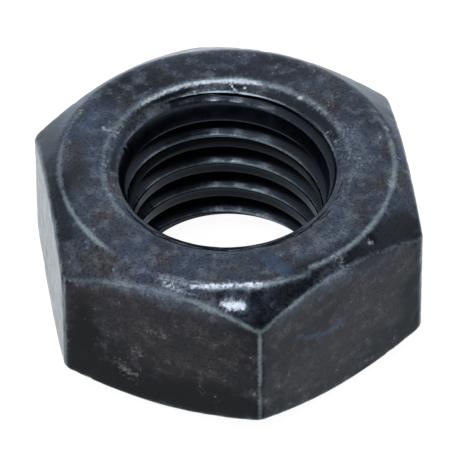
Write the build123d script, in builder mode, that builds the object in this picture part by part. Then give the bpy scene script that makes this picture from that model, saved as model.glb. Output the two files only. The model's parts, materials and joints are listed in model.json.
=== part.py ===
from build123d import *
from build123d.topology import SkipClean
import os
from math import ceil, cos, floor, radians, sqrt, tan

# Hex nut with an M8 coarse thread, forged from one blank and tapped.
# It stands on its lower bearing face at Z = 0, and the bore runs up +Z.
# Its wrench flats face +X and every 60 degrees from there, so two corners lie on Y.

# Driving dimensions, in millimetres and degrees.
across_flats = 13.0
nut_height = 6.4
corner_round = 0.45

# Both ends are turned to a cone, which leaves a round bearing face inside the flats.
# The upper cone is steeper, so its curved lines reach further down the corners.
bearing_inset = 0.45
upper_chamfer_angle = 38.0
lower_chamfer_angle = 30.0

# ISO metric internal thread, right-handed. The tapping allowance is how much wider
# than the basic minor diameter the hole is made. The tap cuts its root a little
# deeper than the nominal diameter, so that a bolt's crests never touch it.
thread_diameter = 8.0
thread_pitch = 1.25
thread_angle = 60.0
tapping_allowance = 0.2
root_clearance = 0.1

# Height at which the thread's groove crosses the +X side of the bore.
thread_phase = 0.80

# Each end of the bore is countersunk wider than the thread, by this much on the radius.
countersink_margin = 0.45
countersink_angle = 120.0

# The hole is punched from the upper face, so it opens out a little towards that end:
# a slight taper first, then a steeper mouth. Both depths are from the upper face.
taper_depth = 2.27
taper_half_angle = 9.8
mouth_depth = 0.65
mouth_half_angle = 28.0

# The groove's section starts this far inside the bore, so that it cuts the wall cleanly.
cut_overlap = 0.1

# Worked out from the values above.
basic_thread_height = thread_pitch * sqrt(3) / 2
minor_radius = thread_diameter / 2 - basic_thread_height * 5 / 8 + tapping_allowance / 2
thread_depth = thread_diameter / 2 + root_clearance - minor_radius
flank_slope = tan(radians(thread_angle / 2))
root_width = thread_pitch / 8 - 2 * root_clearance * flank_slope
bearing_radius = across_flats / 2 - bearing_inset
corner_radius = across_flats / 2 / cos(radians(30))
upper_drop = (corner_radius - bearing_radius) * tan(radians(upper_chamfer_angle))
lower_drop = (corner_radius - bearing_radius) * tan(radians(lower_chamfer_angle))
countersink_radius = thread_diameter / 2 + countersink_margin
countersink_slope = 1 / tan(radians(countersink_angle / 2))
countersink_depth = (countersink_radius - minor_radius) * countersink_slope

# The mouth ends where it meets the upper countersink.
mouth_radius = minor_radius + (taper_depth - mouth_depth) * tan(radians(taper_half_angle))
mouth_spread = tan(radians(mouth_half_angle))
mouth_height = (mouth_depth - (countersink_radius - mouth_radius) * countersink_slope) / (
    1 - mouth_spread * countersink_slope
)

os.makedirs("parts", exist_ok=True)

with BuildPart() as hex_nut:
    # The blank: hexagonal bar with rounded corners.
    with BuildSketch(Plane.XY):
        RegularPolygon(radius=across_flats / 2, side_count=6, major_radius=False, rotation=30)
    extrude(amount=nut_height)
    fillet(hex_nut.edges().filter_by(Axis.Z), radius=corner_round)

    # Turning both ends to a cone gives each flat its curved chamfer lines. The cone's
    # section is a straight two-point Bezier curve, so those lines are splines: as true
    # hyperbolas they can't be measured from reliably.
    with BuildSketch(Plane.XZ):
        with BuildLine():
            Line((0, 0), (bearing_radius, 0))
            Bezier((bearing_radius, 0), (corner_radius, lower_drop))
            Line((corner_radius, lower_drop), (corner_radius, nut_height - upper_drop))
            Bezier((corner_radius, nut_height - upper_drop), (bearing_radius, nut_height))
            Line((bearing_radius, nut_height), (0, nut_height))
            Line((0, nut_height), (0, 0))
        make_face()
    revolve(axis=Axis.Z, mode=Mode.INTERSECT)

    # Half of the punched and countersunk hole's section, to be turned about Z.
    with BuildSketch(Plane.XZ, mode=Mode.PRIVATE) as hole_section:
        with BuildLine():
            Polyline(
                (0, 0),
                (countersink_radius, 0),
                (minor_radius, countersink_depth),
                (minor_radius, nut_height - taper_depth),
                (mouth_radius, nut_height - mouth_depth),
                (
                    mouth_radius + mouth_height * mouth_spread,
                    nut_height - mouth_depth + mouth_height,
                ),
                (countersink_radius, nut_height),
                (0, nut_height),
                close=True,
            )
        make_face()

    # One turn of the thread: a groove with 60 degree flanks and a narrow flat root.
    with BuildLine():
        helix = Helix(pitch=thread_pitch, height=thread_pitch, radius=minor_radius)
    groove_half_width = root_width / 2 + thread_depth * flank_slope
    section_half_width = groove_half_width + cut_overlap * flank_slope
    groove_plane = Plane(origin=(minor_radius, 0, 0), x_dir=(1, 0, 0), z_dir=(0, -1, 0))
    with BuildSketch(groove_plane, mode=Mode.PRIVATE) as groove_section:
        with BuildLine():
            Polyline(
                (-cut_overlap, -section_half_width),
                (thread_depth, -root_width / 2),
                (thread_depth, root_width / 2),
                (-cut_overlap, section_half_width),
                close=True,
            )
        make_face()
    groove_turn = sweep(groove_section.sketch, path=helix, is_frenet=True, mode=Mode.PRIVATE)

    # The first turn starts clear below the nut, and the last one ends clear above it.
    first_turn = floor((-groove_half_width - thread_phase) / thread_pitch)
    last_turn = ceil((nut_height + groove_half_width - thread_phase) / thread_pitch)

    # The hole is cut a quarter at a time, and its faces aren't merged. So the crest is
    # a row of quarter-turn faces and not one long strip that winds through the nut.
    with SkipClean():
        for quarter in range(4):
            quarter_section = hole_section.sketch.rotate(Axis.Z, 90 * quarter)
            revolve(quarter_section, axis=Axis.Z, revolution_arc=90, mode=Mode.SUBTRACT)
        for turn in range(first_turn, last_turn):
            with Locations((0, 0, thread_phase + turn * thread_pitch)):
                add(groove_turn, mode=Mode.SUBTRACT)

hex_nut.part.label = "hex_nut"
export_step(hex_nut.part, "parts/hex_nut.step")
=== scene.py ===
import json
import math

import bmesh
import bpy
from mathutils import Matrix, Vector, geometry, kdtree, noise


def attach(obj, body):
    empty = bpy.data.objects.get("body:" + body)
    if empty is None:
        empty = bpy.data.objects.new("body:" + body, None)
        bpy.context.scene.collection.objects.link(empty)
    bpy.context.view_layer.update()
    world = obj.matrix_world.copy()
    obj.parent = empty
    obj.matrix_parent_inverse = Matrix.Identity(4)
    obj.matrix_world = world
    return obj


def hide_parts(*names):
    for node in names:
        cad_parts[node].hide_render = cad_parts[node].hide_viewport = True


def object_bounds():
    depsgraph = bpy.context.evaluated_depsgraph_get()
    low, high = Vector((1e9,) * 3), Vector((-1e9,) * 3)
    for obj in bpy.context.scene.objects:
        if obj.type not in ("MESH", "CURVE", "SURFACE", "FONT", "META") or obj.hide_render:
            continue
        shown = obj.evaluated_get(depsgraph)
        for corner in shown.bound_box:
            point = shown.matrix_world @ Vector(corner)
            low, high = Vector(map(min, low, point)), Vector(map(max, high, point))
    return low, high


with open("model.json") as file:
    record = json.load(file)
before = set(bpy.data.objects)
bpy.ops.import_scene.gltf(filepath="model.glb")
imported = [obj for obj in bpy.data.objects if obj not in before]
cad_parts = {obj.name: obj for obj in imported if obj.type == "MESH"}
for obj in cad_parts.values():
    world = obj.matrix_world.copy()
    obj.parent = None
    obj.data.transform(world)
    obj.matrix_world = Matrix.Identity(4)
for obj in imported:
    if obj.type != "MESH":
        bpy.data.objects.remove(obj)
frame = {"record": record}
cadLow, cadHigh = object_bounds()
mm = 0.001
print("frame loaded,", [round(v / mm, 2) for v in cadHigh - cadLow], "mm")

mergeWithin = 0.002  # points closer than this are joined, in millimetres
sliverWidth = 0.0002  # the same in the finished mesh, where only the cut's slivers are so thin

# The nut is modelled in millimetres and brought to metres at the end. Its corners lie at
# 30 degrees and every 60 from there, with the flats between them.
threadMount = next(m for m in frame["record"]["mounts"] if m["name"] == "thread")
nut = {
    "acrossFlats": (cadHigh.x - cadLow.x) / mm,
    "height": (cadHigh.z - cadLow.z) / mm,
    "cornerRound": 0.45,
    "bearingInset": 0.45,  # from the flats in to the round bearing face
    "upperChamfer": math.tan(math.radians(38)),
    "lowerChamfer": math.tan(math.radians(30)),
    "ringRound": 0.22,  # how far the upper bearing ring's edge is rounded, along each side of it
    "edgeRound": 0.15,  # the same for the lower ring, and for both chamfers' outer edges
    "rimRound": 0.13,  # and for the countersinks' outer edges
    "roundSegments": {"ring": 5, "edge": 4, "rim": 4},
    "wallMargin": 1.3,  # edgeRounds kept as they are below a chamfer, on the upright side
    "countersinkRadius": 4.45,
    "countersinkSlope": math.tan(math.radians(30)),
    "pilotRadius": 3.0,  # narrower than the thread, which is cut after it
    "columnsPerFlat": 60,
    "cornerCrowding": 0.24,  # spacing of the columns at a corner, as a share of the mean
    # Longest edges of the section: on the pilot hole, which is cut away, round the upper
    # countersink, and above and below the height where the coarser part ends.
    "longestEdge": {"pilot": 1.0, "rim": 0.07, "upper": 0.15, "lower": 0.20},
    "rimPart": (4.9, 1.0),  # the countersink's part: out to this radius, and this far down
    "coarseBelow": 1.0,
    "sharpAngle": 35,  # steeper edges aren't shaded smooth
}
thread = {
    "minorRadius": threadMount["dims"]["r_mm"],
    "majorRadius": 4.1,
    "pitch": 1.25,
    "rootFlat": 0.0408,
    "flankSlope": math.tan(math.radians(30)),
    "phase": 0.80,  # height where the groove crosses the +X side
    "taperFrom": 2.27,  # below the upper face, where the punched hole starts to open out
    "taperSlope": math.tan(math.radians(9.8)),
    "mouthFrom": 0.62,
    "mouthSlope": math.tan(math.radians(34)),
    "mouthBlend": 0.2,  # one slope turns into the next over so much above and below
    "mouthRadius": 3.9,  # about where the mouth meets the countersink
    "crestRound": 0.05,
    "rootRound": 0.015,
    "roundSegments": {"crest": 3, "root": 1},
    "longestEdge": 0.11,
    "columns": 300,
    "reach": 0.5,  # how far the tap runs past each end
    "reshapeFrom": 0.6,  # below the taper, where the tap starts to be fitted to the wider hole
    "leastDepth": 0.02,  # of the groove, where the hole is as wide as its root
}


def closedSection(points):
    section = bmesh.new()
    verts = [section.verts.new((r, 0, z)) for r, z in points]
    for i, vert in enumerate(verts):
        section.edges.new((vert, verts[(i + 1) % len(verts)]))
    return section, verts


def divideLongEdges(bm, longest):
    for edge in list(bm.edges):
        cuts = math.ceil(edge.calc_length() / longest(edge)) - 1
        if cuts > 0:
            bmesh.ops.subdivide_edges(bm, edges=[edge], cuts=cuts)


def roundCorners(bm, verts, offset, segments):
    bmesh.ops.bevel(
        bm, geom=verts, offset=offset, offset_type="OFFSET", segments=segments,
        profile=0.5, affect="VERTICES", material=-1, clamp_overlap=False,
    )


def spinSixth(bm, columns, rise):
    # One sixth is turned step by step, and then copied round, which is much quicker.
    lift = Vector((0, 0, rise))
    bmesh.ops.spin(
        bm, geom=bm.verts[:] + bm.edges[:], cent=(0, 0, 0), axis=(0, 0, 1),
        dvec=lift / (6 * columns), angle=math.tau / 6, steps=columns, use_merge=False,
        use_duplicate=False,
    )
    bmesh.ops.spin(
        bm, geom=bm.verts[:] + bm.edges[:] + bm.faces[:], cent=(0, 0, 0), axis=(0, 0, 1),
        dvec=lift / 6, angle=math.tau * 5 / 6, steps=5, use_merge=False, use_duplicate=True,
    )


def smoothStep(low, high, value):
    # From 0 at low to 1 at high, which may be the smaller of the two.
    share = min(max((value - low) / (high - low), 0), 1)
    return share * share * (3 - 2 * share)


def fromCorner(turn):
    # The angle to the nearest corner, from -30 to 30 degrees.
    step = math.tau / 6
    return turn % step - step / 2


def hexagonRadius(turn):
    # From the axis to the hexagon with its rounded corners.
    away = abs(fromCorner(turn))
    half, rounding = nut["acrossFlats"] / 2, nut["cornerRound"]
    centre = (half - rounding) / math.cos(math.pi / 6)
    tangent = math.atan2(rounding / 2, centre + rounding * math.cos(math.pi / 6))
    if away > tangent:
        return half / math.cos(math.pi / 6 - away)
    return centre * math.cos(away) + math.sqrt(rounding**2 - (centre * math.sin(away)) ** 2)


bearing = nut["acrossFlats"] / 2 - nut["bearingInset"]
sharpCorner = nut["acrossFlats"] / 2 / math.cos(math.pi / 6)


def chamferHeight(radius, upper):
    # How far the turned cone lies from mid-height at this radius.
    slope = nut["upperChamfer"] if upper else nut["lowerChamfer"]
    return nut["height"] / 2 - (radius - bearing) * slope


def makeBlank():
    # A turned ring, then squeezed onto the hexagon.
    height = nut["height"]
    sunk = (nut["countersinkRadius"] - nut["pilotRadius"]) * nut["countersinkSlope"]
    bm, verts = closedSection([
        (nut["pilotRadius"], sunk),
        (nut["countersinkRadius"], 0),
        (bearing, 0),
        (sharpCorner, height / 2 - chamferHeight(sharpCorner, False)),
        (sharpCorner, height / 2 + chamferHeight(sharpCorner, True)),
        (bearing, height),
        (nut["countersinkRadius"], height),
        (nut["pilotRadius"], height - sunk),
    ])
    segments = nut["roundSegments"]
    roundCorners(bm, [verts[1], verts[6]], nut["rimRound"], segments["rim"])
    roundCorners(bm, [verts[5]], nut["ringRound"], segments["ring"])
    roundCorners(bm, [verts[2], verts[3], verts[4]], nut["edgeRound"], segments["edge"])

    def longest(edge):
        middle = (edge.verts[0].co + edge.verts[1].co) / 2
        out, down = nut["rimPart"]
        if middle.x < nut["pilotRadius"] + mergeWithin:
            part = "pilot"
        elif middle.x < out and middle.z > height - down:
            part = "rim"
        else:
            part = "upper" if middle.z > nut["coarseBelow"] else "lower"
        return nut["longestEdge"][part]

    divideLongEdges(bm, longest)
    spinSixth(bm, nut["columnsPerFlat"], 0)
    bmesh.ops.remove_doubles(bm, verts=bm.verts[:], dist=mergeWithin)
    keepRing, keepEdge = nut["ringRound"], nut["edgeRound"]
    keepWall = keepEdge * nut["wallMargin"]
    crowd = nut["cornerCrowding"]
    for vert in bm.verts:
        radius = math.hypot(vert.co.x, vert.co.y)
        turn = math.atan2(vert.co.y, vert.co.x) % math.tau
        # Columns crowd towards the corners, where the surface turns.
        away = fromCorner(turn)
        share = abs(away) / (math.pi / 6)
        moved = math.copysign(math.pi / 6 * (crowd * share + (1 - crowd) * share**2), away)
        turn += moved - away
        z = vert.co.z
        if radius > bearing + keepRing:
            upper = z > height / 2
            slope = nut["upperChamfer"] if upper else nut["lowerChamfer"]
            edgeRadius = hexagonRadius(turn)
            oldEdge, newEdge = chamferHeight(sharpCorner, upper), chamferHeight(edgeRadius, upper)
            inset = newInset = sharpCorner - radius
            # The roundings keep their size, and the cone between them is stretched.
            if inset > keepEdge:
                stretch = edgeRadius - bearing - keepRing - keepEdge
                stretch /= sharpCorner - bearing - keepRing - keepEdge
                newInset = keepEdge + (inset - keepEdge) * stretch
            fromMiddle = abs(z - height / 2)
            below = oldEdge - fromMiddle
            if inset > mergeWithin or below < keepWall:
                fromMiddle += newEdge - oldEdge - (inset - newInset) * slope
            else:
                fromMiddle *= (newEdge - keepWall) / (oldEdge - keepWall)
            radius = edgeRadius - newInset
            z = height / 2 + (fromMiddle if upper else -fromMiddle)
        vert.co = (radius * math.cos(turn), radius * math.sin(turn), z)
    bmesh.ops.recalc_face_normals(bm, faces=bm.faces[:])
    return bm


def holeRadius(z):
    # The punched hole: straight, then a slight taper, then a steeper mouth.
    radius = thread["minorRadius"]
    last = 0
    for start, slope in (("taperFrom", "taperSlope"), ("mouthFrom", "mouthSlope")):
        up = z - (nut["height"] - thread[start])
        blend = thread["mouthBlend"]
        over = max(up + blend, 0) ** 2 / (4 * blend) if up < blend else up
        radius += over * (thread[slope] - last)
        last = thread[slope]
    return radius


def grooveOffset(turn, z):
    # Height above the middle of the nearest turn of the groove.
    pitch = thread["pitch"]
    up = z - thread["phase"] - pitch * turn / math.tau
    return up - pitch * round(up / pitch)


def grooveHalfWidth(radius):
    return thread["rootFlat"] / 2 + (thread["majorRadius"] - radius) * thread["flankSlope"]


def makeTap():
    # The threaded hole as a solid screw, longer than the nut. The blank is cut with it.
    pitch, reach = thread["pitch"], thread["reach"]
    major, minor = thread["majorRadius"], thread["minorRadius"]
    depth = major - minor
    halfRoot, halfGroove = grooveHalfWidth(major), grooveHalfWidth(minor)
    bm = bmesh.new()
    firstTurn = math.floor((-reach - thread["phase"]) / pitch) - 2
    lastTurn = math.ceil((nut["height"] + reach - thread["phase"]) / pitch) + 1
    crests, roots = [], []
    previous = None
    for turn in range(firstTurn, lastTurn + 1):
        middle = thread["phase"] + turn * pitch
        shape = (
            (minor, -halfGroove, crests),
            (major, -halfRoot, roots),
            (major, halfRoot, roots),
            (minor, halfGroove, crests),
        )
        for radius, offset, kind in shape:
            vert = bm.verts.new((radius, 0, middle + offset))
            kind.append(vert)
            if previous:
                bm.edges.new((previous, vert))
            previous = vert
    roundCorners(bm, crests[1:-1], thread["crestRound"], thread["roundSegments"]["crest"])
    roundCorners(bm, roots, thread["rootRound"], thread["roundSegments"]["root"])
    divideLongEdges(bm, lambda edge: thread["longestEdge"])
    spinSixth(bm, thread["columns"] // 6, pitch)
    bmesh.ops.remove_doubles(bm, verts=bm.verts[:], dist=mergeWithin)
    for level, up in ((-reach, -1), (nut["height"] + reach, 1)):
        bmesh.ops.bisect_plane(
            bm, geom=bm.verts[:] + bm.edges[:] + bm.faces[:], dist=0.0001,
            plane_co=(0, 0, level), plane_no=(0, 0, up), clear_outer=True,
        )
    # Where the hole is wider, the groove is shallower and narrower, and the crest is wider.
    # How wide the hole is depends on the height, which moves too, so it is found in three steps.
    lowest = nut["height"] - thread["taperFrom"] - thread["reshapeFrom"]
    highest = nut["height"] + reach - 5 * mergeWithin
    for vert in bm.verts:
        radius, turn = math.hypot(vert.co.x, vert.co.y), math.atan2(vert.co.y, vert.co.x)
        z = vert.co.z
        if not lowest <= z <= highest:
            continue
        offset = grooveOffset(turn, z)
        for _ in range(3):
            shallow = max(major - holeRadius(z), thread["leastDepth"]) / depth
            if abs(offset) < halfGroove:
                moved = abs(offset) * shallow
            else:
                moved = pitch / 2 - (pitch / 2 - abs(offset)) * (
                    (pitch / 2 - halfGroove * shallow) / (pitch / 2 - halfGroove)
                )
            z = vert.co.z - offset + math.copysign(moved, offset)
        radius = major - (major - radius) * shallow
        vert.co = (radius * math.cos(turn), radius * math.sin(turn), z)
    rim = [edge for edge in bm.edges if edge.is_boundary]
    bmesh.ops.holes_fill(bm, edges=rim, sides=0)
    bmesh.ops.recalc_face_normals(bm, faces=bm.faces[:])
    return bm


def meshObject(name, bm):
    mesh = bpy.data.meshes.new(name)
    bm.to_mesh(mesh)
    bm.free()
    made = bpy.data.objects.new(name, mesh)
    bpy.context.collection.objects.link(made)
    return made


blank = meshObject("blank", makeBlank())
print("blank turned,", len(blank.data.polygons), "faces")
tap = meshObject("tap", makeTap())
print("tap made,", len(tap.data.polygons), "faces")

cut = blank.modifiers.new("cutThread", "BOOLEAN")
cut.operation = "DIFFERENCE"
cut.solver = "EXACT"
cut.object = tap
graph = bpy.context.evaluated_depsgraph_get()
tapped = bpy.data.meshes.new_from_object(blank.evaluated_get(graph))
bpy.data.objects.remove(blank)
bpy.data.objects.remove(tap)
tapped.name = "nutBody"
print("thread cut,", len(tapped.polygons), "faces")


def side(angle, height):
    # A place on the flats and corners, from its angle round the bore and its height.
    radius = hexagonRadius(math.radians(angle))
    return Matrix.Rotation(math.radians(angle), 3, "Z") @ Vector((radius, 0, height))


def coneHeight(radius):
    # Height of the upper countersink's cone.
    return nut["height"] - (nut["countersinkRadius"] - radius) * nut["countersinkSlope"]


def above(angle, radius):
    # A place on the upper face, its countersink or its chamfer.
    z = min(nut["height"], coneHeight(radius), nut["height"] / 2 + chamferHeight(radius, True))
    return Matrix.Rotation(math.radians(angle), 3, "Z") @ Vector((radius, 0, z))


# Wear, and painted shade and light. Each worn line has its half width in millimetres, and how
# bare it is round the nut, as pairs of angle and bareness. Angles are in degrees.
wearAndShading = {
    "ring": (0.11, (
        (0, 0.60), (12, 0.45), (30, 0.12), (125, 0.10), (140, 0.35), (165, 0.50), (182, 0.60),
        (190, 0.80), (212, 0.80), (219, 0.15), (248, 0.15), (256, 0.50), (285, 0.55), (295, 0.60),
        (320, 0.75), (350, 0.70), (360, 0.60),
    )),
    "lowerRing": (0.16, ((0, 0.4), (360, 0.4))),
    # The edge where a chamfer meets the flats.
    "chamferLine": (0.16, (
        (0, 0.40), (215, 0.42), (235, 0.50), (262, 0.62), (275, 0.60), (292, 0.50), (305, 0.38),
        (330, 0.38), (360, 0.40),
    )),
    "corner": (0.09, ((0, 0.62), (360, 0.62))),
    "lowerEdge": 0.4,  # how much of the chamfer line's wear there is on the lower chamfer
    "lowerRim": 0.5,  # and of the rim's on the lower countersink
    # How much of a corner's wear is missing at the bottom, and the shares of the nut's height
    # between which it fades.
    "cornerFade": (0.35, 0.7, 0.1),
    # The countersink's outer edge, and the edge where the hole meets the countersink.
    "rim": (0.15, (
        (0, 0.40), (35, 0.45), (52, 0.55), (70, 0.65), (120, 0.65), (135, 0.45), (160, 0.48),
        (200, 0.52), (215, 0.25), (235, 0.05), (310, 0.05), (335, 0.35), (360, 0.40),
    )),
    "mouth": (0.07, (
        (0, 0.8), (10, 1.1), (90, 1.0), (110, 0.4), (200, 0.15), (330, 0.15), (360, 0.6),
    )),
    "crest": (0.03, ((0, 0.3), (30, 0.5), (60, 0.8), (115, 0.8), (150, 0.5), (360, 0.3))),
    "lineFade": (0.1, 1.7),  # each line fades between these shares of its half width
    "ringDown": 0.3,  # the rings' lines lie no further than this from the face's level
    "ringLine": -0.06,  # where the ring's line lies, out from the bearing face
    "ringLineInFront": (245, 290, 0.14),  # the same between two angles, where it is rubbed wider
    # Bands round the upper hole, torn and smeared bare, or darker: kind, from and to
    # angle, radius, half width, strength.
    "bands": (
        ("scuffed", 60, 130, 4.42, 0.16, 0.85),
        ("scuffed", 78, 106, 4.14, 0.05, 0.60),
        ("scuffed", -35, 44, 4.40, 0.26, 0.32),
        ("scuffed", -12, 22, 4.12, 0.16, 0.38),
        ("scuffed", 132, 158, 4.32, 0.20, 0.40),
        ("scuffed", 158, 212, 4.38, 0.20, 0.38),
        ("scuffed", 165, 205, 4.14, 0.08, 0.34),
        ("dark", 42, 150, 4.14, 0.26, 1.0),
        ("dark", 8, 50, 4.16, 0.22, 0.9),
        ("dark", 128, 175, 4.08, 0.14, 0.7),
    ),
    "bandDown": 0.4,  # they reach this far down from the upper face
    "bandEnds": 8,  # and fade over so many degrees at their ends
    "bandCore": 0.2,  # share of their half width that is at full strength
    "scuffSpread": 1.4,  # a scuff fades out this many half widths from its middle
    # Scuffs: from, to, half width, how bare.
    "scuffs": (
        # The first scuff lies over a dent where a light's reflection falls: partly wear, partly a
        # painted highlight in its bare colour.
        (above(261, 6.60), above(265, 6.65), 0.30, 1.00),
        (above(250, 6.20), above(272, 6.15), 0.14, 0.85),
        (above(241, 6.20), above(246, 6.30), 0.26, 0.50),
        (above(300, 6.00), above(301, 6.35), 0.28, 0.50),
        (side(235, 4.0), side(239, 3.8), 0.30, 0.48),
        (side(240, 3.8), side(241, 3.8), 0.22, 0.60),
        (side(219, 2.8), side(219, 2.7), 0.20, 0.40),
        (side(216, 3.7), side(216, 3.6), 0.18, 0.40),
        (side(227, 1.6), side(229, 1.6), 0.20, 0.80),
        (side(226, 1.9), side(230, 1.3), 0.42, 0.48),
        (side(231, 1.5), side(231, 1.5), 0.16, 0.75),
        (side(231, 2.8), side(231, 2.4), 0.30, 0.52),
        (side(233, 2.8), side(234, 2.6), 0.22, 0.50),
        (side(252, 1.9), side(254, 1.4), 0.26, 0.42),
        (side(257, 1.6), side(258, 1.4), 0.20, 0.42),
        (side(211, 2.4), side(211, 2.3), 0.16, 0.60),
        (above(223, 6.45), above(223, 6.45), 0.18, 0.50),
        (side(212, 5.2), side(214, 5.2), 0.14, 0.60),
        (above(314, 6.30), above(315, 6.35), 0.16, 0.75),
        (side(295, 4.9), side(296, 4.9), 0.20, 0.36),
        (side(307, 1.6), side(308, 1.5), 0.20, 0.45),
        (side(323, 3.4), side(324, 3.4), 0.20, 0.34),
        (above(31, 4.85), above(33, 5.10), 0.30, 0.42),
        (above(11, 4.50), above(13, 4.80), 0.46, 0.38),
        (above(348, 4.70), above(353, 4.70), 0.46, 0.34),
        (above(45, 4.35), above(44, 4.40), 0.10, 0.90),
        (above(72, 4.20), above(72, 4.20), 0.08, 1.00),
        (above(18, 4.05), above(18, 4.10), 0.16, 0.60),
        (above(5, 5.70), above(5, 5.70), 0.18, 0.55),
        (above(9, 6.05), above(10, 6.10), 0.18, 0.65),
        (above(342, 5.95), above(341, 6.05), 0.24, 0.55),
        (above(148, 4.85), above(148, 4.65), 0.16, 0.70),
        (above(143, 5.95), above(142, 6.00), 0.18, 0.55),
        (above(81, 4.40), above(76, 4.05), 0.06, 1.00),
        (above(87, 3.95), above(81, 4.00), 0.06, 0.90),
    ),
    # Stains in the oxide, and painted shade: kind, from, to, half width, strength. Brown and blue
    # are stains, pale makes the oxide lighter, and dark makes it darker.
    "stainsAndShade": (
        ("brown", above(213, 6.55), above(219, 6.40), 0.85, 1.0),
        ("brown", above(260, 5.40), above(266, 5.20), 0.55, 0.8),
        ("brown", above(289, 4.75), above(292, 4.60), 0.45, 0.8),
        ("brown", above(193, 5.45), above(161, 5.40), 0.70, 0.3),
        ("brown", side(235, 3.2), side(242, 2.6), 1.10, 0.7),
        ("brown", side(279, 2.2), side(303, 2.6), 1.20, 0.4),
        # Painted shade: the lower part of the front left flat darker, as shade near the floor.
        ("dark", side(213, 0.8), side(265, 0.8), 1.50, 1.0),
        # A darker band down the side by the left corner.
        ("dark", side(215, 1.0), side(215, 4.6), 0.80, 0.7),
        # Painted shade: the front corner's side and chamfer darker, standing in for a dark
        # reflection.
        ("dark", side(265, 5.3), side(274, 5.4), 0.75, 0.35),
        ("dark", above(282, 5.95), above(296, 6.00), 0.40, 0.8),
        # Darker patches on the upper faces and chamfers.
        ("dark", above(178, 5.30), above(156, 5.45), 0.70, 0.5),
        ("dark", above(200, 6.50), above(178, 5.95), 0.70, 0.6),
        ("dark", above(148, 6.80), above(188, 6.60), 0.90, 0.9),
        ("dark", above(20, 6.60), above(46, 6.60), 0.90, 0.9),
        # Painted shade: the chamfer along the front right flat, by the front corner too, darker,
        # standing in for a dark reflection.
        ("dark", above(318, 6.35), above(330, 6.80), 0.85, 0.9),
        ("dark", above(281, 6.55), side(290, 5.8), 0.50, 0.5),
        ("dark", above(306, 6.50), above(317, 6.65), 0.65, 0.8),
        ("pale", above(290, 6.50), above(303, 6.50), 0.50, 0.8),
        # A darker band low on the side by the right corner.
        ("dark", side(327, 0.6), side(327, 3.2), 1.00, 0.8),
        ("pale", above(294, 5.15), above(317, 5.30), 0.90, 1.0),
        ("pale", above(346, 4.85), above(15, 4.95), 0.80, 1.0),
        ("pale", above(236, 5.20), above(225, 5.10), 0.80, 0.5),
        ("pale", side(227, 5.8), side(244, 5.9), 0.60, 1.0),
        ("blue", side(283, 4.0), side(288, 3.6), 0.24, 0.6),
        ("blue", side(288, 3.6), side(294, 3.4), 0.24, 0.7),
        ("blue", side(294, 3.4), side(300, 3.5), 0.24, 0.7),
        ("blue", side(300, 3.5), side(306, 4.0), 0.22, 0.5),
        ("blue", above(267, 6.80), above(273, 6.60), 0.40, 0.5),
        ("blue", above(277, 4.95), above(282, 5.75), 0.55, 0.6),
        ("blue", above(154, 5.45), above(144, 5.45), 0.60, 0.6),
    ),
    # Dents: from, to, half width, depth.
    "dents": (
        (above(261, 6.50), above(265, 6.55), 0.42, 0.055),
        (side(211, 5.2), side(213, 5.2), 0.30, 0.09),
        (side(227, 1.6), side(229, 1.6), 0.18, 0.03),
        (side(239, 3.8), side(242, 3.8), 0.20, 0.03),
        (above(314, 6.20), above(315, 6.35), 0.26, 0.04),
        (above(148, 4.85), above(148, 4.65), 0.20, 0.05),
        (above(80, 4.35), above(76, 4.05), 0.09, 0.05),
        (above(300, 6.00), above(301, 6.35), 0.30, 0.03),
        (above(241, 6.20), above(246, 6.30), 0.28, 0.03),
        (side(307, 1.6), side(308, 1.5), 0.18, 0.02),
        (side(84, 2.2), side(85, 1.9), 0.25, 0.05),
        (side(10, 3.1), side(14, 3.6), 0.22, 0.03),
        (side(172, 2.2), side(176, 2.4), 0.25, 0.03),
        (side(56, 4.1), side(60, 4.3), 0.24, 0.03),
        (side(111, 3.0), side(116, 3.2), 0.28, 0.03),
    ),
    # Fine relief, as depth in millimetres, swings to the millimetre and a shift, so that no two
    # line up. The forged faces swing in and out slowly, with a ripple over that.
    "waves": ((0.012, 0.45, (0, 0, 0)), (0.006, 1.7, (7, 3, 1))),
    "wavesFrom": 4.0,  # radius inside which the thread has none
    # Nicks in the edges: share, swings, shift, and how much of the pattern doesn't bite.
    "nicks": ((1.0, 2.4, (17, 5, 9), 0.18), (0.35, 6.5, (4, 25, 3), 0.1)),
    "nickDepth": 0.07,
    "nickReach": 0.5,  # from an edge
    # Torn metal round the upper countersink: depth, swings across, round and down, and how much
    # is added to the pattern so that more of it is torn. It has two layers: share and scale.
    "smear": (0.04, (7, 6, 5), 0.1),
    "smearLayers": ((1, 1), (0.5, 2.3)),
    "smearRing": (4.3, 0.1, 0.5),  # its radius, and between which distances from there it fades
    # The thread: its nicks' strength and reach, how dark its parts are, with painted shade at the
    # roots and on the crests, and where it shines.
    "threadNicks": (0.3, 0.2),
    # Painted shade: the roots go near-black, and the crests darker, more so low in the hole.
    "wallTone": 0.12,  # everywhere in the thread, rising to 1 at the roots
    "crestShade": (0.2, 0.75),  # added on the crests, high up and low down
    "crestHeights": (5.1, 4.5),  # between these heights the one turns into the other
    "crestEdge": 0.16,  # how far below a crest's upper edge that tone is reached
    "crestLine": 0.012,  # how far above the crest's upper edge its worn line runs
    "burnish": (0.08, 0.18),  # how far a bolt has burnished the crest and the flank above
    "flareFade": (0.6, 4.7, 5.2),  # share of the crest's wear that is gone between two heights
    # Painted light: the upper faces take lighter copies of the colours, as if lit from above.
    "litUpperFaces": (5.0, 6.1),  # heights between which the colour of the upper faces comes in
    # Painted shade: the sides go darker towards the bottom, as shade near the floor.
    "low": (3.6, 0.2),  # and the darker tone of the sides' lower half
}


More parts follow.
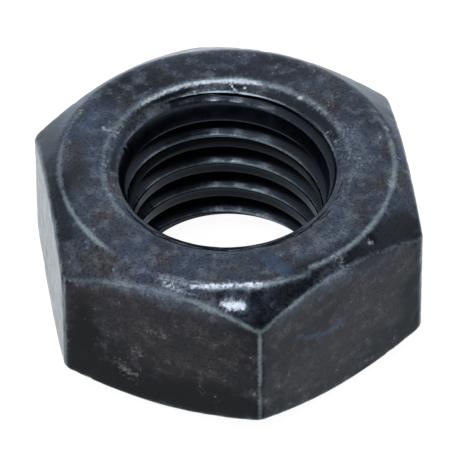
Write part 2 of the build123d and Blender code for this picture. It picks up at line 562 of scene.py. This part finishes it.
def lineStrength(distance, kind, turn):
    halfWidth, pairs = wearAndShading[kind]
    near, far = (share * halfWidth for share in wearAndShading["lineFade"])
    if distance > far:
        return 0
    angle = math.degrees(turn) % 360
    for (start, before), (end, after) in zip(pairs, pairs[1:]):
        if start <= angle <= end:
            bare = before + (after - before) * (angle - start) / (end - start)
    return bare * (1 - smoothStep(near, far, distance))


def bandStrength(wanted, place):
    radius, angle = math.hypot(place.x, place.y), math.degrees(math.atan2(place.y, place.x))
    most = 0.0
    if place.z < nut["height"] - wearAndShading["bandDown"]:
        return most
    for kind, start, end, middle, halfWidth, strength in wearAndShading["bands"]:
        along = (angle - start) % 360
        if kind == wanted and along < end - start:
            fade = smoothStep(0, wearAndShading["bandEnds"], min(along, end - start - along))
            across = smoothStep(halfWidth, wearAndShading["bandCore"] * halfWidth, abs(radius - middle))
            most = max(most, strength * fade * across)
    return most


def outsideMarks(place):
    # How worn a place is by its corner, chamfer and bearing ring, and how close to an edge.
    radius, z = math.hypot(place.x, place.y), place.z
    turn = math.atan2(place.y, place.x)
    height = nut["height"]
    upper = z > height / 2
    edgeRadius = hexagonRadius(turn)
    level, line = abs(z - height / 2), chamferHeight(edgeRadius, upper)
    slope = nut["upperChamfer"] if upper else nut["lowerChamfer"]
    fromChamfer = (edgeRadius - radius) * math.hypot(1, slope)
    worn = edge = 0
    if radius > edgeRadius - 0.06 and level < line + 0.1:
        # An upright side. The 0.06 and 0.1 leave room for the roundings.
        fromChamfer = max(line - level, 0)
        along = abs(fromCorner(turn)) * edgeRadius
        faded, start, end = wearAndShading["cornerFade"]
        fade = 1 - faded * smoothStep(start, end, z / height)
        worn = fade * lineStrength(along, "corner", turn)
        edge = 1 - along / wearAndShading["nickReach"]
    if radius > bearing - wearAndShading["nickReach"]:
        seen = 1 if upper else wearAndShading["lowerEdge"]
        worn = max(worn, seen * lineStrength(fromChamfer, "chamferLine", turn))
        fromRing = math.hypot(radius - bearing, height / 2 - level)
        edge = max(edge, 1 - min(fromChamfer, fromRing) / wearAndShading["nickReach"])
        if level > height / 2 - wearAndShading["ringDown"]:
            start, end, out = wearAndShading["ringLineInFront"]
            if not start < math.degrees(turn) % 360 < end:
                out = wearAndShading["ringLine"]
            kind = "ring" if upper else "lowerRing"
            worn = max(worn, lineStrength(abs(radius - bearing - out), kind, turn))
    return worn, edge


def threadMarks(place):
    # How deep a place is in the thread, and how dark it is painted there as shade, how burnished by
    # the bolt, how worn, and how close to the edge of a crest.
    radius, z = math.hypot(place.x, place.y), place.z
    turn = math.atan2(place.y, place.x)
    wallTone, hole = wearAndShading["wallTone"], holeRadius(z)
    depth = thread["majorRadius"] - hole
    if depth <= 0.03:
        # The groove has all but run out, and there is only the wall.
        return wallTone, 0, 0, 0
    halfGroove, offset = grooveHalfWidth(hole), grooveOffset(turn, z)
    if abs(offset) < halfGroove:
        # Painted shade, darker towards the groove's root.
        share = min(max((radius - hole) / depth, 0), 1) ** 0.8
        grooveDepthAndShade = wallTone + (1 - wallTone) * share
    else:
        # Painted shade on the crests, darker below their upper edge, and more so low in the hole.
        below = (-halfGroove - offset) % thread["pitch"]
        high, low = wearAndShading["crestShade"]
        paintedCrestShade = high + (low - high) * smoothStep(*wearAndShading["crestHeights"], z)
        grooveDepthAndShade = wallTone + paintedCrestShade * smoothStep(0, wearAndShading["crestEdge"], below)
    away = abs(offset + halfGroove - wearAndShading["crestLine"])
    onCrest, onFlank = wearAndShading["burnish"]
    burnished = 1 - smoothStep(0, onFlank if offset > -halfGroove else onCrest, away)
    faded, start, end = wearAndShading["flareFade"]
    worn = (1 - faded * smoothStep(start, end, z)) * lineStrength(away, "crest", turn)
    strength, reach = wearAndShading["threadNicks"]
    return grooveDepthAndShade, burnished, worn, strength * (1 - away / reach)


def surfaceMarks(place):
    # How worn, how deep in the thread and how shaded there, how burnished by the bolt, how close to
    # the upper rim, and how close to any edge.
    radius, z = math.hypot(place.x, place.y), place.z
    turn = math.atan2(place.y, place.x)
    height, major = nut["height"], thread["majorRadius"]
    upper = z > height / 2
    worn, edge = outsideMarks(place)
    grooveDepthAndShade = burnished = rim = 0
    # The 0.02 and 0.012 allow for the mesh's flat faces.
    inThread = radius < major + 0.02 and not (upper and abs(z - coneHeight(radius)) < 0.012)
    fromFace = height / 2 - abs(z - height / 2)
    fromRim = math.hypot(radius - nut["countersinkRadius"], fromFace)
    if upper:
        worn = max(worn, lineStrength(fromRim, "rim", turn))
        mouth = holeRadius(coneHeight(thread["mouthRadius"]))
        fromMouth = abs(radius - mouth) + abs(z - coneHeight(mouth))
        if not inThread and radius < major + 0.2:
            # The groove runs out through the countersink, and has a worn edge there as well.
            groovesEdge = max(grooveHalfWidth(radius), 0)
            fromMouth = min(fromMouth, abs(abs(grooveOffset(turn, z)) - groovesEdge))
        worn = max(worn, lineStrength(fromMouth, "mouth", turn))
        ring, near, far = wearAndShading["smearRing"]
        if z > height - far:
            rim = 1 - smoothStep(near, far, abs(radius - ring))
    elif radius < nut["countersinkRadius"] + 0.02:
        worn = max(worn, wearAndShading["lowerRim"] * lineStrength(fromRim, "rim", turn))
    if inThread:
        grooveDepthAndShade, burnished, rubbed, nicked = threadMarks(place)
        worn, edge = max(worn, rubbed), max(edge, nicked)
    return worn, grooveDepthAndShade, burnished, rim, max(edge, 0)


bm = bmesh.new()
bm.from_mesh(tapped)
# The cut leaves a few slivers with hardly any width, which are closed up.
bmesh.ops.remove_doubles(bm, verts=bm.verts[:], dist=sliverWidth)
bmesh.ops.dissolve_degenerate(bm, edges=bm.edges[:], dist=sliverWidth)
bm.normal_update()
print("open edges", sum(1 for e in bm.edges if not e.is_manifold))
print("triangles", sum(len(f.verts) - 2 for f in bm.faces))
places = [vert.co.copy() for vert in bm.verts]
marks = [surfaceMarks(place) for place in places]
worn = [mark[0] for mark in marks]
sink = [0.0] * len(places)
for i, place in enumerate(places):
    _, _, _, rim, edge = marks[i]
    if math.hypot(place.x, place.y) >= wearAndShading["wavesFrom"]:
        for depth, swings, shift in wearAndShading["waves"]:
            wave = noise.noise(place * swings + Vector(shift)) * 0.5 + 0.5
            sink[i] += depth * wave
    if edge > 0:
        for share, swings, shift, blunt in wearAndShading["nicks"]:
            bite = noise.noise(place * swings + Vector(shift)) - blunt
            sink[i] += wearAndShading["nickDepth"] * edge * share * max(bite, 0)
    if rim > 0:
        depth, (across, along, down), more = wearAndShading["smear"]
        radius, turn = math.hypot(place.x, place.y), math.atan2(place.y, place.x)
        smear = Vector((
            radius * across, math.cos(turn) * along, math.sin(turn) * along + place.z * down,
        ))
        torn = sum(share * noise.noise(smear * scale) for share, scale in wearAndShading["smearLayers"])
        sink[i] += depth * rim * max(torn + more, 0)
finder = kdtree.KDTree(len(places))
for i, place in enumerate(places):
    finder.insert(place, i)
finder.balance()


def nearSegment(start, end, halfWidth):
    # Each vertex within reach of the segment, with its share from the middle line out.
    for place, i, _ in finder.find_range((start + end) / 2, (end - start).length / 2 + halfWidth):
        _, along = geometry.intersect_point_line(place, start, end)
        nearest = start.lerp(end, min(max(along, 0), 1))
        share = (place - nearest).length / halfWidth
        if share < 1:
            yield i, share


scuffed = [bandStrength("scuffed", place) for place in places]
for start, end, halfWidth, bare in wearAndShading["scuffs"]:
    for i, share in nearSegment(start, end, halfWidth * wearAndShading["scuffSpread"]):
        scuffed[i] = max(scuffed[i], bare * (1 - smoothStep(0.1, 1, share)))
stainsAndShade = {kind: [0.0] * len(places) for kind in ("brown", "pale", "blue")}
stainsAndShade["dark"] = [bandStrength("dark", place) for place in places]
for kind, start, end, halfWidth, strength in wearAndShading["stainsAndShade"]:
    for i, share in nearSegment(start, end, halfWidth):
        stainsAndShade[kind][i] = max(stainsAndShade[kind][i], strength * (1 - smoothStep(0, 1, share)))
for start, end, halfWidth, depth in wearAndShading["dents"]:
    for i, share in nearSegment(start, end, halfWidth):
        sink[i] += depth * (0.5 + 0.5 * math.cos(math.pi * share))
for vert, amount in zip(bm.verts, sink):
    vert.co -= vert.normal * amount
bm.normal_update()
bm.to_mesh(tapped)
bm.free()
print("dents and wear made")

tapped.transform(Matrix.Scale(mm, 4))
hexNut = bpy.data.objects.new("nutBody", tapped)
bpy.context.collection.objects.link(hexNut)
for face in tapped.polygons:
    face.use_smooth = True
tapped.set_sharp_from_angle(angle=math.radians(nut["sharpAngle"]))
masks = {
    "worn": worn,
    "grooveDepthAndShade": [mark[1] for mark in marks],
    "burnished": [mark[2] for mark in marks],
    "litUpperFaces": [smoothStep(*wearAndShading["litUpperFaces"], place.z) for place in places],
    # Painted shade, darker towards the bottom of the sides.
    "low": [smoothStep(*wearAndShading["low"], place.z) for place in places],
    "scuffed": scuffed,
    **stainsAndShade,
}
for name, values in masks.items():
    tapped.attributes.new(name, "FLOAT", "POINT").data.foreach_set("value", values)

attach(hexNut, "root")
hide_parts("hex_nut")


def linear(hexColour):
    # An sRGB hex colour, turned to linear.
    parts = [int(hexColour[i:i + 2], 16) / 255 for i in (1, 3, 5)]
    return (*[p / 12.92 if p <= 0.04045 else ((p + 0.055) / 1.055) ** 2.4 for p in parts], 1)


def addNode(tree, kind, settings, links):
    made = tree.nodes.new(kind)
    for name, value in settings.items():
        setattr(made, name, value)
    for socket, source in links.items():
        if isinstance(source, bpy.types.NodeSocket):
            tree.links.new(source, made.inputs[socket])
        else:
            made.inputs[socket].default_value = source
    return made


# Black oxide on forged carbon steel: a thin, oiled, nearly black skin. It shows blue, grey
# and brown stains where it is thicker or thinner, and bare grey steel where it has rubbed off.
# Sizes are in millimetres. Its real crystals are a few thousandths of one across and wouldn't
# show, so the grain is drawn as coarse as the clusters that they form.
# The colours also hold painted light and shade: lighter copies on the upper faces, and darker lower
# sides, front chamfers, thread roots and lower crests.
oxideAndShading = {
    "oilFilm": 0.13,  # weight of the glossy film over the metal
    "oilRoughness": 0.12,
    "glancing": "#ecf6ff",  # the skin's colour seen along the surface
    "reliefHeight": 0.004,
    "leastRelief": 0.2,  # in the thread, as a share of the relief on the skin
    # Each pattern: size, detail, roughness, distortion.
    "patterns": {
        "stain": (3.2, 3, 0.45, 0.6),
        "mottle": (1.0, 3, 0.45, 0.3),
        "smudge": (0.45, 3, 0.50, 0.1),
        "grain": (0.10, 2, 0.60, 0.0),
        "speck": (0.13, 1, 0.50, 0.0),
    },
    # What each layer, the roughness and the relief follow: a start, and a share of each source.
    "mixtures": {
        "browning": (0.0, {"mottle": 1, "litUpperFaces": -0.05, "brown": 0.28, "blue": -0.2}),
        # Blacking follows the oxide's stains, and also carries the painted shade of the lower sides
        # and dark patches.
        "blackingAndShade": (0.0, {"stain": 1, "dark": 0.35, "low": 0.22, "pale": -0.1, "brown": -0.1}),
        "hazing": (0.0, {"smudge": 1, "pale": 0.12, "dark": -0.25, "grooveDepthAndShade": -0.3}),
        "grit": (1.0, {"grain": -1}),
        "blueing": (0.0, {"blue": 1, "mottle": 0.6}),
        "specks": (0.0, {"speck": 1, "smudge": 0.45, "grooveDepthAndShade": -0.5, "dark": -0.2}),
        "thread": (0.0, {"grooveDepthAndShade": 1}),
        "roots": (0.0, {"grooveDepthAndShade": 1}),
        "rubbing": (-0.65, {"worn": 1, "mottle": 0.7, "grain": 0.6}),
        "scuffing": (-1.35, {"scuffed": 1, "speck": 0.9, "grain": 1.1}),
        "dullness": (0.03, {
            "smudge": 0.3, "grain": 0.15, "grooveDepthAndShade": 0.2, "burnished": -0.17, "scuffed": 0.1,
            "worn": 0.15,
        }),
        "relief": (0.0, {"grain": 0.8, "smudge": 1.6}),
        "reliefStrength": (1.0, {"grooveDepthAndShade": -6, "scuffed": 2.2}),
    },
    # The colour on the upper faces is lighter, as painted light from above.
    "ground": ("#28282e", "#434d5f"),  # on the sides, and on the upper faces
    # Each layer: where its mixture starts and ends to show, share, colour on the sides and above;
    # the colour above is lighter, as painted light from above.
    "layers": {
        "browning": (0.36, 0.72, 0.80, "#2f2a29", "#47423f"),
        # Dark oxide mottling, and painted shade on the lower sides and in the dark patches.
        "blackingAndShade": (0.40, 0.76, 0.90, "#0b0c0e", "#24282e"),
        "hazing": (0.44, 0.78, 0.70, "#424146", "#6c7787"),
        "grit": (0.49, 0.64, 0.58, "#0b0c0e", "#191c21"),
        "blueing": (0.45, 1.20, 0.80, "#34495e", "#455a74"),
        "specks": (0.92, 1.08, 0.60, "#737a80", "#9aa6b2"),
        "thread": (0.05, 0.12, 0.90, "#272e39", "#272e39"),
        # Painted shade: near-black at the thread's roots and on its lower crests.
        "roots": (0.14, 0.95, 0.92, "#08090d", "#08090d"),
        "rubbing": (0.10, 1.15, 1.00, "#80919a", "#90a2ae"),
        "scuffing": (0.00, 0.60, 0.80, "#66666a", "#b4c0cd"),
    },
}


def makeBlackOxideSteelWithShading():
    steel = bpy.data.materials.new("blackOxideSteelWithShading")
    steel.use_nodes = True
    tree = steel.node_tree
    shader = tree.nodes["Principled BSDF"]
    coords = addNode(tree, "ShaderNodeTexCoord", {}, {}).outputs["Object"]
    sources = {
        name: addNode(tree, "ShaderNodeAttribute", {"attribute_name": name}, {}).outputs["Fac"]
        for name in masks
    }
    for index, (name, settings) in enumerate(oxideAndShading["patterns"].items()):
        # Each pattern is moved, so that no two line up.
        size, detail, roughness, distortion = settings
        place = addNode(tree, "ShaderNodeMapping", {}, {
            "Vector": coords, "Scale": [1 / (size * mm)] * 3, "Location": (7 * index, 5 * index, 3),
        }).outputs[0]
        sources[name] = addNode(tree, "ShaderNodeTexNoise", {}, {
            "Vector": place, "Scale": 1, "Detail": detail, "Roughness": roughness,
            "Distortion": distortion,
        }).outputs["Fac"]

    mixtures = {}
    for name, (value, shares) in oxideAndShading["mixtures"].items():
        for source, share in shares.items():
            value = addNode(tree, "ShaderNodeMath", {"operation": "MULTIPLY_ADD"}, {
                0: sources[source], 1: share, 2: value,
            }).outputs[0]
        mixtures[name] = value

    colourMix = {"data_type": "RGBA"}
    # Painted light: the upper faces take the lighter of each pair of colours.
    onSides, onTop = oxideAndShading["ground"]
    tint = addNode(tree, "ShaderNodeMix", colourMix, {
        0: sources["litUpperFaces"], 6: linear(onSides), 7: linear(onTop),
    }).outputs[2]
    for name, (low, high, share, onSides, onTop) in oxideAndShading["layers"].items():
        mask = addNode(tree, "ShaderNodeMapRange", {"interpolation_type": "SMOOTHSTEP"}, {
            "Value": mixtures[name], "From Min": low, "From Max": high, "To Max": share,
        }).outputs[0]
        colour = addNode(tree, "ShaderNodeMix", colourMix, {
            0: sources["litUpperFaces"], 6: linear(onSides), 7: linear(onTop),
        }).outputs[2]
        tint = addNode(tree, "ShaderNodeMix", colourMix, {0: mask, 6: tint, 7: colour}).outputs[2]

    # The cut thread has less relief than the forged skin, and scuffs have more.
    strength = addNode(tree, "ShaderNodeMath", {"operation": "MAXIMUM"}, {
        0: mixtures["reliefStrength"], 1: oxideAndShading["leastRelief"],
    }).outputs[0]
    bump = addNode(tree, "ShaderNodeBump", {}, {
        "Height": mixtures["relief"], "Strength": strength, "Distance": oxideAndShading["reliefHeight"] * mm,
    }).outputs[0]
    for socket, value in {
        "Base Color": tint, "Roughness": mixtures["dullness"], "Normal": bump,
    }.items():
        tree.links.new(value, shader.inputs[socket])
    for socket, value in {
        "Metallic": 1, "Specular Tint": linear(oxideAndShading["glancing"]),
        "Coat Weight": oxideAndShading["oilFilm"], "Coat Roughness": oxideAndShading["oilRoughness"],
    }.items():
        shader.inputs[socket].default_value = value
    return steel


tapped.materials.clear()
tapped.materials.append(makeBlackOxideSteelWithShading())
print("steel made")

studio = {
    "elevation": 44.33,
    "azimuth": -8.58,
    "roll": -0.42,
    "distance": 224.68,  # in mm
    "aim": (0.039, 2.262),  # in mm across and up from the base's middle, square to the view
    "lens": 484.8,
    "surround": 0.85,
    "darkSide": 0.13,
    "darkToward": (0.33, -0.46, 0.82),  # the unlit side of the room, up in front
    "darkFade": (0.72, 0.97),  # cosines of the angles from there between which it fades in
    "ceiling": 0.42,
    # Each light: middle and size in metres, and radiance. A soft box and three strips.
    "lights": {
        "softbox": ((0.004, 0.045), (0.15, 0.12), 3.2),
        "stripRight": ((0.066, -0.10), (0.014, 0.11), 21.0),
        "stripMiddle": ((-0.028, -0.10), (0.014, 0.12), 24.0),
        "stripLeft": ((-0.135, -0.08), (0.014, 0.11), 17.0),
    },
    "floorGlow": 0.95,
    "floorColour": "#6e6e6e",
    "floorRoughness": 0.9,
    "floorHalf": 2,
    "floorGap": 0.02,  # in mm, so that the nut's lower face and the floor don't fight
}


def makeCamera():
    # Back points from the nut to the camera, and right and top to those sides of its picture.
    lift, turn = math.radians(studio["elevation"]), math.radians(studio["azimuth"])
    back = Vector((
        math.sin(turn) * math.cos(lift), -math.cos(turn) * math.cos(lift), math.sin(lift),
    ))
    right = Vector((math.cos(turn), math.sin(turn), 0))
    top = back.cross(right)
    tilt = Matrix.Rotation(math.radians(studio["roll"]), 3, back)
    right, top = tilt @ right, tilt @ top
    across, up = studio["aim"]
    place = (right * across + top * up + back * studio["distance"]) * mm
    data = bpy.data.cameras.new("camera")
    data.lens = studio["lens"]
    data.clip_start = 0.01
    data.clip_end = 10
    camera = bpy.data.objects.new("camera", data)
    bpy.context.collection.objects.link(camera)
    turned = Matrix((right, top, back)).transposed().to_4x4()
    camera.matrix_world = Matrix.Translation(place) @ turned
    bpy.context.scene.camera = camera


def makeFloor():
    # A white table that glows a little, so that it stays white under the nut.
    mesh = bpy.data.meshes.new("floor")
    bm = bmesh.new()
    bmesh.ops.create_grid(bm, x_segments=1, y_segments=1, size=studio["floorHalf"])
    bm.to_mesh(mesh)
    bm.free()
    mesh.transform(Matrix.Translation((0, 0, -studio["floorGap"] * mm)))
    floor = bpy.data.objects.new("floor", mesh)
    bpy.context.collection.objects.link(floor)
    paper = bpy.data.materials.new("whiteTable")
    paper.use_nodes = True
    shader = paper.node_tree.nodes["Principled BSDF"]
    shader.inputs["Base Color"].default_value = linear(studio["floorColour"])
    shader.inputs["Roughness"].default_value = studio["floorRoughness"]
    shader.inputs["Specular IOR Level"].default_value = 0
    shader.inputs["Emission Color"].default_value = (1, 1, 1, 1)
    shader.inputs["Emission Strength"].default_value = studio["floorGlow"]
    mesh.materials.append(paper)


def makeLight():
    # A bright room with one dark side, and the lights below its ceiling.
    world = bpy.data.worlds.new("studio")
    bpy.context.scene.world = world
    world.use_nodes = True
    tree = world.node_tree
    toward = addNode(tree, "ShaderNodeTexCoord", {}, {}).outputs["Generated"]
    front = Vector(studio["darkToward"]).normalized()
    facing = addNode(tree, "ShaderNodeVectorMath", {"operation": "DOT_PRODUCT"}, {
        0: toward, 1: front,
    }).outputs["Value"]
    fadeFrom, fadeTo = studio["darkFade"]
    strength = addNode(tree, "ShaderNodeMapRange", {"interpolation_type": "SMOOTHSTEP"}, {
        "Value": facing, "From Min": fadeFrom, "From Max": fadeTo,
        "To Min": studio["surround"], "To Max": studio["darkSide"],
    }).outputs[0]
    background = tree.nodes["Background"]
    tree.links.new(strength, background.inputs["Strength"])
    background.inputs["Color"].default_value = (1, 1, 1, 1)
    for name, (middle, size, radiance) in studio["lights"].items():
        data = bpy.data.lights.new(name, "AREA")
        data.shape = "RECTANGLE"
        data.size, data.size_y = size
        data.energy = radiance * math.pi * size[0] * size[1]
        light = bpy.data.objects.new(name, data)
        light.location = (*middle, studio["ceiling"])
        light.visible_camera = False
        bpy.context.collection.objects.link(light)


makeCamera()
makeFloor()
makeLight()
bpy.context.scene.view_settings.view_transform = "Standard"
print("studio set")
